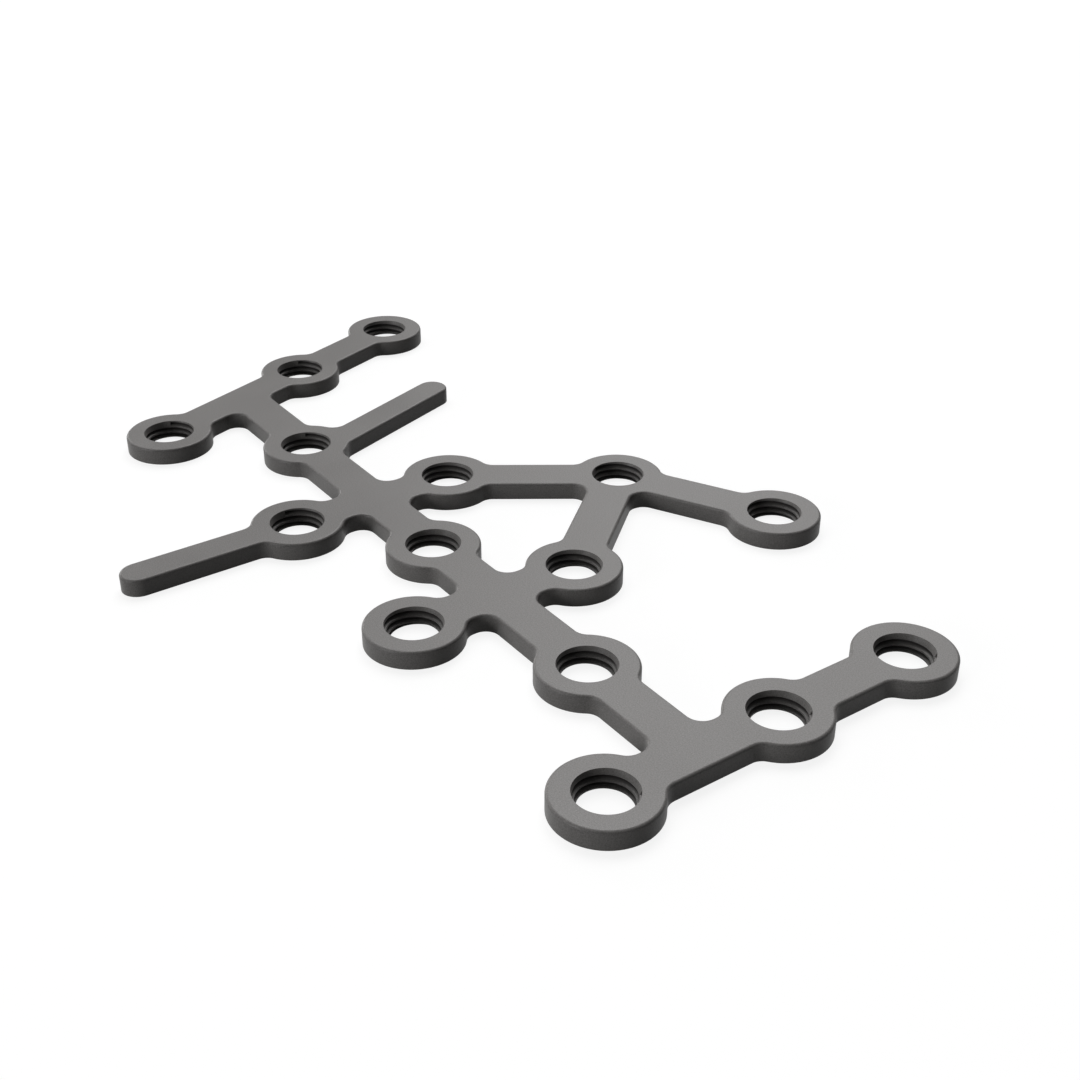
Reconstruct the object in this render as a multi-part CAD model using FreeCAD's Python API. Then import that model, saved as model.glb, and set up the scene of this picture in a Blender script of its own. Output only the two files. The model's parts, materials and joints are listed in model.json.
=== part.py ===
import FreeCAD, Part
import math
import os

# Orthopedic bone plate for the heel bone.
# One flat piece of titanium, milled in one go from sheet: a branching web of narrow bars that
# joins fifteen round rings, each with a tapered, tapped hole for a locking bone screw, and two
# plain tabs with no hole, which the surgeon bends over the bone's edge or snips off.
#
# The straight spine lies along X, with the middle one of its three rings at the origin. Z = 0 is
# the back face, which lies on the bone, and +Z points out of it. Seen from outside, the broad
# foot is at +X, the tilted head at -X, and the window, the arm and its tip at +Y.
# All sizes are in millimetres.

# Sheet, rings, bars and edges
plate_thickness = 1.25
ring_diameter = 6.5
bar_width = 3.2
tab_width = 2.45
web_corner_radius = 1.0          # every inner corner between a bar and a ring or another bar
edge_break = 0.1                 # bevel round the front face, the back edge stays sharp

# Screw holes before the thread is cut outward from them, wide in front and narrow at the back
hole_front_diameter = 3.8
hole_back_diameter = 3.2
hole_land = 0.25                 # straight stretch at the back face, below the cone

# Spine: rings in front of and behind the middle one, then the bars that cross it
spine_front_ring = 17.45
spine_rear_ring = 18.6
front_pair = 7.75
rear_pair = 8.0
foot_bar = 27.35
head_bar = 29.4

# Across the spine
pair_spacing = 12.3              # between the two rings of a pair, and of the foot's inner two
outer_row_step = 10.3            # from a pair's row out to the row of the arm and the foot's end

# Head bar, which leans back, with its three rings measured along it from the spine
head_tilt = 20.0
head_lower_ring = 8.25
head_inner_ring = 6.55
head_outer_ring = 17.65

# Arm over the window, and its tip
arm_ring = 0.85                  # behind the middle ring, in the outer row
tip_reach = 10.85                # from the arm's ring, along the spine
tip_rise = 5.5                   # and across it

# Tabs, measured from the centre of the ring that each one grows from
rear_tab_length = 14.95
rear_tab_offset = 1.35           # from that ring's centre to the tab's centre line
side_tab_length = 12.85

# What follows from the sizes above
pair_row = pair_spacing / 2
outer_row = pair_row + outer_row_step
ring_radius = ring_diameter / 2
head_lean = math.radians(90 + head_tilt)


def at(x, y):
    return FreeCAD.Vector(x, y, 0)


def along(start, angle, distance):
    """The point at a distance from start, in the direction of an angle from +X."""
    return at(start.x + distance * math.cos(angle), start.y + distance * math.sin(angle))


# Where the head bar and the foot bar cross the spine
head_crossing = at(-head_bar, 0)
foot_crossing = at(foot_bar, 0)

rings = {
    "spine_rear": at(-spine_rear_ring, 0),
    "spine_middle": at(0, 0),
    "spine_front": at(spine_front_ring, 0),
    "rear_pair_left": at(-rear_pair, pair_row),
    "rear_pair_right": at(-rear_pair, -pair_row),
    "front_pair_left": at(front_pair, pair_row),
    "front_pair_right": at(front_pair, -pair_row),
    "foot_right": at(foot_bar, -pair_row),
    "foot_inner": at(foot_bar, pair_row),
    "foot_outer": at(foot_bar, outer_row),
    "head_lower": along(head_crossing, head_lean, -head_lower_ring),
    "head_inner": along(head_crossing, head_lean, head_inner_ring),
    "head_outer": along(head_crossing, head_lean, head_outer_ring),
    "arm": at(-arm_ring, outer_row),
    "tip": at(-arm_ring + tip_reach, outer_row + tip_rise),
}

# Each bar runs straight between two centres and ends inside the ring or the bar it meets
bars = [
    (head_crossing, foot_crossing),
    (rings["head_lower"], rings["head_outer"]),
    (rings["foot_right"], rings["foot_outer"]),
    (rings["rear_pair_left"], rings["rear_pair_right"]),
    (rings["front_pair_left"], rings["front_pair_right"]),
    (rings["rear_pair_left"], rings["arm"]),
    (rings["front_pair_left"], rings["arm"]),
    (rings["arm"], rings["tip"]),
]


def round_face(centre, radius):
    return Part.Face(Part.Wire(Part.makeCircle(radius, centre)))


def strip_face(start, end, width):
    """A straight strip with square ends between two centres."""
    run = (end - start).normalize()
    side = FreeCAD.Vector(-run.y, run.x, 0) * (width / 2)
    corners = [start + side, start - side, end - side, end + side]
    return Part.Face(Part.makePolygon(corners + corners[:1]))


def tab_faces(root, angle, length):
    """A plain tab from its root to its half-round free end."""
    end_radius = tab_width / 2
    end_centre = along(root, angle, length - end_radius)
    return [strip_face(root, end_centre, tab_width), round_face(end_centre, end_radius)]


def web_face():
    """The plate's whole outline as one flat face, with its inner corners rounded."""
    faces = [round_face(centre, ring_radius) for centre in rings.values()]
    faces += [strip_face(start, end, bar_width) for start, end in bars]
    across = head_lean - math.pi / 2
    faces += tab_faces(along(rings["spine_rear"], across, rear_tab_offset), head_lean, rear_tab_length)
    faces += tab_faces(rings["rear_pair_right"], -math.pi / 2, side_tab_length)
    sharp = faces[0].multiFuse(faces[1:]).removeSplitter()
    # Growing the outline and shrinking it back rounds the inner corners and nothing else
    grown = Part.makeCompound(sharp.Faces).makeOffset2D(web_corner_radius)
    return grown.makeOffset2D(-web_corner_radius)


def front_edges(solid):
    """Every edge that lies wholly in the front face."""
    return [
        edge
        for edge in solid.Edges
        if all(abs(vertex.Z - plate_thickness) < 1e-6 for vertex in edge.Vertexes)
    ]


def screw_hole(centre):
    """What the drill and then the taper reamer take out for one locking screw."""
    back_radius = hole_back_diameter / 2
    cone_start = centre + FreeCAD.Vector(0, 0, hole_land)
    cone_height = plate_thickness - hole_land
    drilled = Part.makeCylinder(back_radius, plate_thickness, centre)
    reamed = Part.makeCone(back_radius, hole_front_diameter / 2, cone_height, cone_start)
    return drilled.fuse(reamed).removeSplitter()


def bone_plate():
    blank = web_face().extrude(FreeCAD.Vector(0, 0, plate_thickness)).Solids[0]
    # The edges are broken before the holes are drilled, so the holes keep crisp rims
    blank = blank.makeChamfer(edge_break, front_edges(blank))
    holes = [screw_hole(centre) for centre in rings.values()]
    return blank.cut(Part.makeCompound(holes)).removeSplitter().Solids[0]


os.makedirs("parts", exist_ok=True)
plate = bone_plate()
plate.exportStep("parts/bone_plate.step")

box = plate.optimalBoundingBox(False, False)
print("size mm", round(box.XLength, 3), round(box.YLength, 3), round(box.ZLength, 3))
print("volume mm3", round(plate.Volume, 2), "faces", len(plate.Faces), "valid", plate.isValid())
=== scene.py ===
import json
from math import cos, pi, radians, sin

import bmesh
import bpy
from mathutils import Matrix, Vector


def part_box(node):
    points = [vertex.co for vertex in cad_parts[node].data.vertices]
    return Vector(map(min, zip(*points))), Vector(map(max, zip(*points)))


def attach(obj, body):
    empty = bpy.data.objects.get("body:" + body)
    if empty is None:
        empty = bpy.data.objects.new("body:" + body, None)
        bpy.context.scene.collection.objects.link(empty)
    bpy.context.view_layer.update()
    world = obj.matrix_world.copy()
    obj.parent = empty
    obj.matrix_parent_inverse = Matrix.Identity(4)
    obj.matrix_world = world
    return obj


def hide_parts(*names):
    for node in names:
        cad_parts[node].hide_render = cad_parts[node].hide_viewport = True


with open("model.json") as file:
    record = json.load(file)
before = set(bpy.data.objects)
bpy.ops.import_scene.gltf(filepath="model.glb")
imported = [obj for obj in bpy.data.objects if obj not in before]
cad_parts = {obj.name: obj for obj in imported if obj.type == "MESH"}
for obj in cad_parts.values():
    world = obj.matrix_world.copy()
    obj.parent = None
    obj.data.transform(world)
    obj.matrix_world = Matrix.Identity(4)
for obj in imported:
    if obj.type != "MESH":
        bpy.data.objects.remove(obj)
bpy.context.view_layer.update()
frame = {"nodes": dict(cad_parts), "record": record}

# The blank of the plate: titanium sheet, milled all round to the branching outline and through
# the window. The cutter leaves the back edge sharp, and a form tool rounds the front edge before
# the surface is blasted.
mm = 0.001
ring_radius = 3.25 * mm
edge_radius = 0.2 * mm
edge_steps = 5
arc_cuts = 7                       # new points on each side of a ring's outline
shortest_side = 0.02 * mm          # of that outline, so that no new face is a sliver
hole_reach = 2.625 * mm            # nothing so close to a ring's centre is part of the outline
hair = 0.001 * mm                  # points closer than this count as in one place

low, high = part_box("bone_plate")
thickness = high.z - low.z
threaded = [m for m in frame["record"]["mounts"] if m["kind"] == "threaded_hole"]
ring_centres = {m["name"]: Vector(m["pos_m"]) for m in threaded}


def near_a_ring_centre(vert):
    return any((vert.co - centre).length < hole_reach for centre in ring_centres.values())


blank = bmesh.new()
blank.from_mesh(frame["nodes"]["bone_plate"].data)
bmesh.ops.remove_doubles(blank, verts=blank.verts, dist=hair / 2)

# Only the outline of the back face is kept, and the holes in it are left for the drill
blank.normal_update()
not_back = [face for face in blank.faces if face.normal.z > -0.99]
bmesh.ops.delete(blank, geom=not_back, context="FACES")
bmesh.ops.delete(blank, geom=[edge for edge in blank.edges if not edge.is_boundary], context="EDGES")
in_holes = [vert for vert in blank.verts if not vert.link_edges or near_a_ring_centre(vert)]
bmesh.ops.delete(blank, geom=in_holes, context="VERTS")

# The rings get more points, so that they are round from close by
for centre in ring_centres.values():
    on_ring = {vert for vert in blank.verts if abs((vert.co - centre).length - ring_radius) < hair}
    sides = [edge for edge in blank.edges if set(edge.verts) <= on_ring]
    made = bmesh.ops.subdivide_edges(blank, edges=sides, cuts=arc_cuts)
    for item in made["geom_inner"]:
        if isinstance(item, bmesh.types.BMVert):
            item.co = centre + (item.co - centre).normalized() * ring_radius
bmesh.ops.remove_doubles(blank, verts=blank.verts, dist=shortest_side)

bmesh.ops.triangle_fill(blank, use_beauty=True, edges=blank.edges[:])
raised = bmesh.ops.extrude_face_region(blank, geom=blank.faces[:], use_keep_orig=True)["geom"]
front = [item for item in raised if isinstance(item, bmesh.types.BMFace)]
raised_points = [item for item in raised if isinstance(item, bmesh.types.BMVert)]
bmesh.ops.translate(blank, verts=raised_points, vec=(0, 0, thickness - edge_radius))
bmesh.ops.recalc_face_normals(blank, faces=blank.faces)

# The front edge is rounded in steps of a quarter circle, each a little further in and up
turned = [step / edge_steps * pi / 2 for step in range(edge_steps + 1)]
quarter = [(1 - cos(angle), sin(angle)) for angle in turned]
for (inward, upward), (next_inward, next_upward) in zip(quarter, quarter[1:]):
    bmesh.ops.inset_region(
        blank,
        faces=front,
        thickness=(next_inward - inward) * edge_radius,
        depth=(next_upward - upward) * edge_radius,
        use_boundary=True,
        use_even_offset=True,
    )

plate = bpy.data.objects.new("plate", bpy.data.meshes.new("plate"))
blank.to_mesh(plate.data)
blank.free()
bpy.context.collection.objects.link(plate)

# The fifteen screw holes: drilled straight through, reamed to a cone from the front, then tapped
# for the threaded head of a locking screw. The thread is a sharp single-start right-hand one. It
# begins abruptly below the front face, at a different turn in each hole, and runs out at the back.
hole_back_radius = threaded[0]["dims"]["r_mm"] * mm
hole_land = threaded[0]["dims"]["length_mm"] * mm
hole_front_radius = 1.9 * mm
hole_sides = 160
cutter_reach = 0.3 * mm            # how far every cutter runs past the faces

thread_pitch = 0.4 * mm
thread_depth = 0.27 * mm
thread_crest = 0.1 * mm            # flat left between two turns
thread_root = 0.03 * mm
thread_start_depth = 0.22 * mm     # from the front face down to the middle of the first groove
thread_sides = 96
thread_start_turn = {
    "spine_rear": 155,
    "spine_middle": 410,
    "spine_front": 361,
    "rear_pair_left": 263,
    "rear_pair_right": 181,
    "front_pair_left": 322,
    "front_pair_right": 309,
    "foot_right": 419,
    "foot_inner": 416,
    "foot_outer": 410,
    "head_lower": 155,
    "head_inner": 158,
    "head_outer": 325,
    "arm": 205,
    "tip": 235,
}


def wall_radius(z):
    """Radius of the reamed hole at a height over the back face."""
    taper = (hole_front_radius - hole_back_radius) / (thickness - hole_land)
    return hole_back_radius + taper * max(0, z - hole_land)


def drill_and_reamer():
    """One closed solid, at the origin, of what is taken out before the thread is cut."""
    tool = bmesh.new()
    profile = [(0, -cutter_reach)]
    for z in (-cutter_reach, hole_land, thickness + cutter_reach):
        profile.append((wall_radius(z), z))
    profile.append((0, thickness + cutter_reach))
    points = [tool.verts.new((r, 0, z)) for r, z in profile]
    sides = [tool.edges.new(pair) for pair in zip(points, points[1:])]
    bmesh.ops.spin(
        tool, geom=points + sides, cent=(0, 0, 0), axis=(0, 0, 1), dvec=(0, 0, 0),
        angle=2 * pi, steps=hole_sides, use_merge=True,
    )
    bmesh.ops.remove_doubles(tool, verts=tool.verts, dist=hair)
    bmesh.ops.recalc_face_normals(tool, faces=tool.faces)
    return tool


def thread_cutter(start_turn):
    """One closed solid, at the origin, of the groove that the tap cuts outward from the cone."""
    tool = bmesh.new()
    # The tool's section is drawn at the radius of the front rim, and reaches into the open hole
    half_width = (thread_pitch - thread_crest) / 2
    flank = (half_width - thread_root / 2) / thread_depth
    overlap = 0.12 * mm            # of the tool into the open hole
    middle = thickness - thread_start_depth
    section = [
        (hole_front_radius - overlap, half_width + flank * overlap),
        (hole_front_radius + thread_depth, thread_root / 2),
        (hole_front_radius + thread_depth, -thread_root / 2),
        (hole_front_radius - overlap, -half_width - flank * overlap),
    ]
    start = Matrix.Rotation(radians(start_turn), 4, "Z")
    corners = [tool.verts.new(start @ Vector((r, 0, middle + rise))) for r, rise in section]
    face = tool.faces.new(corners)
    turns = (middle + cutter_reach) / thread_pitch
    steps = round(turns * thread_sides)
    bmesh.ops.spin(
        tool, geom=corners + face.edges[:] + [face], cent=(0, 0, 0), axis=(0, 0, 1),
        dvec=(0, 0, -thread_pitch / thread_sides), angle=-steps / thread_sides * 2 * pi, steps=steps,
        use_merge=False,
    )
    # The section then follows the cone inward
    for vert in tool.verts:
        vert.co.xy *= wall_radius(vert.co.z) / hole_front_radius
    bmesh.ops.recalc_face_normals(tool, faces=tool.faces)
    return tool


def cut_at_every_ring(name, tool_for):
    """Takes one tool out of the plate at each ring's centre."""
    cutters = bpy.data.meshes.new(name)
    all_tools = bmesh.new()
    for ring, centre in ring_centres.items():
        tool = tool_for(ring)
        bmesh.ops.translate(tool, verts=tool.verts, vec=centre)
        tool.to_mesh(cutters)
        all_tools.from_mesh(cutters)
        tool.free()
    all_tools.to_mesh(cutters)
    all_tools.free()
    cutter = bpy.data.objects.new(name, cutters)
    bpy.context.collection.objects.link(cutter)
    cut = plate.modifiers.new(name, "BOOLEAN")
    cut.operation = "DIFFERENCE"
    cut.solver = "EXACT"
    cut.object = cutter
    seen = plate.evaluated_get(bpy.context.evaluated_depsgraph_get())
    plate.data = bpy.data.meshes.new_from_object(seen)
    plate.modifiers.clear()
    bpy.data.objects.remove(cutter)


cut_at_every_ring("drilling", lambda ring: drill_and_reamer())
cut_at_every_ring("tapping", lambda ring: thread_cutter(thread_start_turn[ring]))

# Where two cuts all but touch, points are left a few thousandths of a millimetre apart, with a
# gap between them that merging them closes. An edge is crisp where the metal turns by more than
# the steps of the rounded edge do.
widest_gap = 0.003 * mm
crisp_turn = radians(32)
whole = bmesh.new()
whole.from_mesh(plate.data)
beside_gaps = [vert for vert in whole.verts if vert.is_boundary]
bmesh.ops.remove_doubles(whole, verts=beside_gaps, dist=widest_gap)
whole.normal_update()
for face in whole.faces:
    face.smooth = True
for edge in whole.edges:
    edge.smooth = edge.calc_face_angle(pi) < crisp_turn
whole.to_mesh(plate.data)
whole.free()

# How deep each point lies in a groove, from 0 on a crest to 1 at the root, for the painted shade in
# the thread's roots
threads_end = hole_front_radius + 1.5 * thread_depth
groove_depth = plate.data.attributes.new("groove_depth", "FLOAT", "POINT")
for vert, depth in zip(plate.data.vertices, groove_depth.data):
    nearest = min(ring_centres.values(), key=lambda centre: (vert.co - centre).xy.length)
    radius = (vert.co - nearest).xy.length
    if radius < threads_end and 0 < vert.co.z < thickness:
        wall = wall_radius(vert.co.z)
        root = wall * (1 + thread_depth / hole_front_radius)
        depth.value = min(1, max(0, (radius - wall) / (root - wall)))

# Smooth shading. Long faces lead, so the straight bars stay flat from end to end, and the front
# face stays flat right up to its rounded edge.
even = plate.modifiers.new("even shading", "WEIGHTED_NORMAL")
even.mode = "FACE_AREA"
even.keep_sharp = True
shaded = plate.evaluated_get(bpy.context.evaluated_depsgraph_get())
plate.data = bpy.data.meshes.new_from_object(shaded)
plate.modifiers.clear()
normals = [corner.vector.copy() for corner in plate.data.corner_normals]
for face in plate.data.polygons:
    for loop in face.loop_indices:
        point = plate.data.vertices[plate.data.loops[loop].vertex_index].co
        if face.normal.z > 0.9 and point.z > thickness - hair:
            normals[loop] = Vector((0, 0, 1))
plate.data.normals_split_custom_set(normals)

# The finish all over: titanium blasted with fine beads and anodised a dark warm grey. The oxide
# is matt, and each bead leaves a dent of a tenth of a millimetre or so. The thread's roots get
# painted shade: their colour is darkened where little light reaches into the grooves.
titanium = bpy.data.materials.new("blasted titanium")
titanium.use_nodes = True
nodes, links = titanium.node_tree.nodes, titanium.node_tree.links
shader = nodes["Principled BSDF"]
shader.inputs["Specular IOR Level"].default_value = 0.25
place = nodes.new("ShaderNodeTexCoord")


def noise(per_mm, detail, roughness):
    """A pattern with so many blotches to a millimetre, on the plate's own coordinates."""
    pattern = nodes.new("ShaderNodeTexNoise")
    pattern.inputs["Scale"].default_value = per_mm / mm
    pattern.inputs["Detail"].default_value = detail
    pattern.inputs["Roughness"].default_value = roughness
    links.new(place.outputs["Object"], pattern.inputs["Vector"])
    return pattern.outputs["Fac"]


def ranged(value, low_in, high_in, low_out, high_out):
    """Stretches a pattern's middle range to the values that a socket needs."""
    span = nodes.new("ShaderNodeMapRange")
    span.inputs["From Min"].default_value = low_in
    span.inputs["From Max"].default_value = high_in
    span.inputs["To Min"].default_value = low_out
    span.inputs["To Max"].default_value = high_out
    links.new(value, span.inputs["Value"])
    return span.outputs["Result"]


bead_dents = noise(per_mm=9, detail=2, roughness=0.6)
oxide_grain = noise(per_mm=12, detail=2, roughness=0.7)
oxide_cloud = noise(per_mm=0.12, detail=3, roughness=0.5)

# Colour: warm grey, lighter and darker from grain to grain and, faintly, from place to place
mottle = nodes.new("ShaderNodeMix")
mottle.data_type = "FLOAT"
mottle.inputs["Factor"].default_value = 0.15
links.new(oxide_grain, mottle.inputs["A"])
links.new(oxide_cloud, mottle.inputs["B"])
oxide = nodes.new("ShaderNodeValToRGB")
oxide.color_ramp.elements[0].position = 0.3
oxide.color_ramp.elements[0].color = (0.156, 0.150, 0.147, 1)
oxide.color_ramp.elements[1].position = 0.7
oxide.color_ramp.elements[1].color = (0.266, 0.257, 0.250, 1)
links.new(mottle.outputs["Result"], oxide.inputs["Fac"])
# Painted shade: the colour darkens to near black towards the root of each thread groove, by the
# groove depth
in_groove = nodes.new("ShaderNodeAttribute")
in_groove.attribute_name = "groove_depth"
with_painted_root_shade = nodes.new("ShaderNodeMix")
with_painted_root_shade.data_type = "RGBA"
with_painted_root_shade.inputs["B"].default_value = (0.05, 0.048, 0.046, 1)
links.new(ranged(in_groove.outputs["Fac"], 0.1, 0.8, 0.0, 0.9), with_painted_root_shade.inputs["Factor"])
links.new(oxide.outputs["Color"], with_painted_root_shade.inputs["A"])
links.new(with_painted_root_shade.outputs["Result"], shader.inputs["Base Color"])

links.new(ranged(oxide_cloud, 0.35, 0.65, 0.35, 0.42), shader.inputs["Roughness"])

dents = nodes.new("ShaderNodeBump")
dents.inputs["Strength"].default_value = 0.5
dents.inputs["Distance"].default_value = 0.004 * mm
links.new(bead_dents, dents.inputs["Height"])
links.new(dents.outputs["Normal"], shader.inputs["Normal"])
plate.data.materials.clear()
plate.data.materials.append(titanium)

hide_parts("bone_plate")
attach(plate, "root")

# The floor: a broad pale table top that the plate lies on, back face down. It is matt, and a
# hair's breadth is left under the plate, so that the two faces don't flicker.
floor_size = 4.0
floor_gap = 0.01 * mm
floor_mesh = bmesh.new()
bmesh.ops.create_grid(floor_mesh, x_segments=1, y_segments=1, size=floor_size / 2)
bmesh.ops.translate(floor_mesh, verts=floor_mesh.verts, vec=(0, 0, low.z - floor_gap))
floor = bpy.data.objects.new("floor", bpy.data.meshes.new("floor"))
floor_mesh.to_mesh(floor.data)
floor_mesh.free()
bpy.context.collection.objects.link(floor)
pale = bpy.data.materials.new("pale table top")
pale.use_nodes = True
nodes, links = pale.node_tree.nodes, pale.node_tree.links
top = nodes["Principled BSDF"]
top.inputs["Roughness"].default_value = 0.9
top.inputs["Specular IOR Level"].default_value = 0.0
top.inputs["Emission Color"].default_value = (1, 1, 1, 1)


def either(first, second):
    """1 where at least one of two kinds of ray sees the thing."""
    choice = nodes.new("ShaderNodeMath")
    choice.operation = "MAXIMUM"
    links.new(first, choice.inputs[0])
    links.new(second, choice.inputs[1])
    return choice.outputs[0]


def seen_share(glossy_share):
    """1 for rays that see a thing straight, a share for those mirrored in the plate, or else 0."""
    path = nodes.new("ShaderNodeLightPath")
    mirrored = nodes.new("ShaderNodeMath")
    mirrored.operation = "MULTIPLY"
    mirrored.inputs[1].default_value = glossy_share
    links.new(path.outputs["Is Glossy Ray"], mirrored.inputs[0])
    straight = either(path.outputs["Is Camera Ray"], path.outputs["Is Transmission Ray"])
    return either(straight, mirrored.outputs[0])


def mixed(socket, share, hidden, shown):
    """Sets a socket to one value for the rays that see the thing, and to another for the rest."""
    choice = nodes.new("ShaderNodeMix")
    choice.data_type = "FLOAT"
    choice.inputs["A"].default_value = hidden
    choice.inputs["B"].default_value = shown
    links.new(share, choice.inputs["Factor"])
    links.new(choice.outputs["Result"], socket)


# Seen straight, the table is white with a faint shadow, and mirrored in the plate it is a little
# greyer. What it throws back as plain light stays low, so that the plate keeps its own grey.
table_share = seen_share(0.7)
mixed(top.inputs["Base Color"], table_share, 0.1, 0.2)
mixed(top.inputs["Emission Strength"], table_share, 0.0, 0.86)
floor.data.materials.append(pale)

# The light: two large soft panels high at the back and one lower between them, which the front
# face mirrors, low fills at the back left and the left, and a little light from all round. The
# room beyond the table is white too, and faint in what the plate mirrors.
world = bpy.data.worlds.new("studio")
bpy.context.scene.world = world
world.use_nodes = True
nodes, links = world.node_tree.nodes, world.node_tree.links
nodes["Background"].inputs["Color"].default_value = (1, 1, 1, 1)
mixed(nodes["Background"].inputs["Strength"], seen_share(0.2), 0.02, 1.0)


lamp_distance = 1.2


def soft_panel(name, azimuth, elevation, size, brightness):
    """A square lamp that faces the plate. White paper held in its place looks as bright at 1."""
    turn = radians(azimuth)
    rise = radians(elevation)
    place = Vector((cos(rise) * cos(turn), cos(rise) * sin(turn), sin(rise))) * lamp_distance
    lamp = bpy.data.lights.new(name, "AREA")
    lamp.size = size
    lamp.energy = brightness * pi * size * size
    holder = bpy.data.objects.new(name, lamp)
    holder.location = place
    holder.rotation_euler = (-place).to_track_quat("-Z", "Y").to_euler()
    bpy.context.collection.objects.link(holder)


soft_panel("high back right", 135, 55, 0.6, 6.1)
soft_panel("high back left", 180, 55, 0.6, 3.0)
soft_panel("backdrop", 135, 32, 0.5, 2.3)
soft_panel("low back left", 180, 12, 0.5, 3.0)
soft_panel("low left", 210, 12, 0.5, 1.0)
soft_panel("left fill", 270, 12, 0.5, 6.0)

# The camera: where the photograph was taken from. Its place, gaze and lens were solved from the
# fifteen equal round holes.
eye = Vector((74.784, -43.779, 51.434)) * mm
gaze = Vector((-0.70789, 0.49808, -0.50081))
camera = bpy.data.objects.new("camera", bpy.data.cameras.new("camera"))
camera.data.lens = 49.17
camera.data.sensor_width = 36.0
camera.data.clip_start = 1 * mm
camera.location = eye
camera.rotation_euler = gaze.to_track_quat("-Z", "Y").to_euler()
bpy.context.collection.objects.link(camera)
bpy.context.scene.camera = camera
bpy.context.scene.view_settings.view_transform = "Standard"
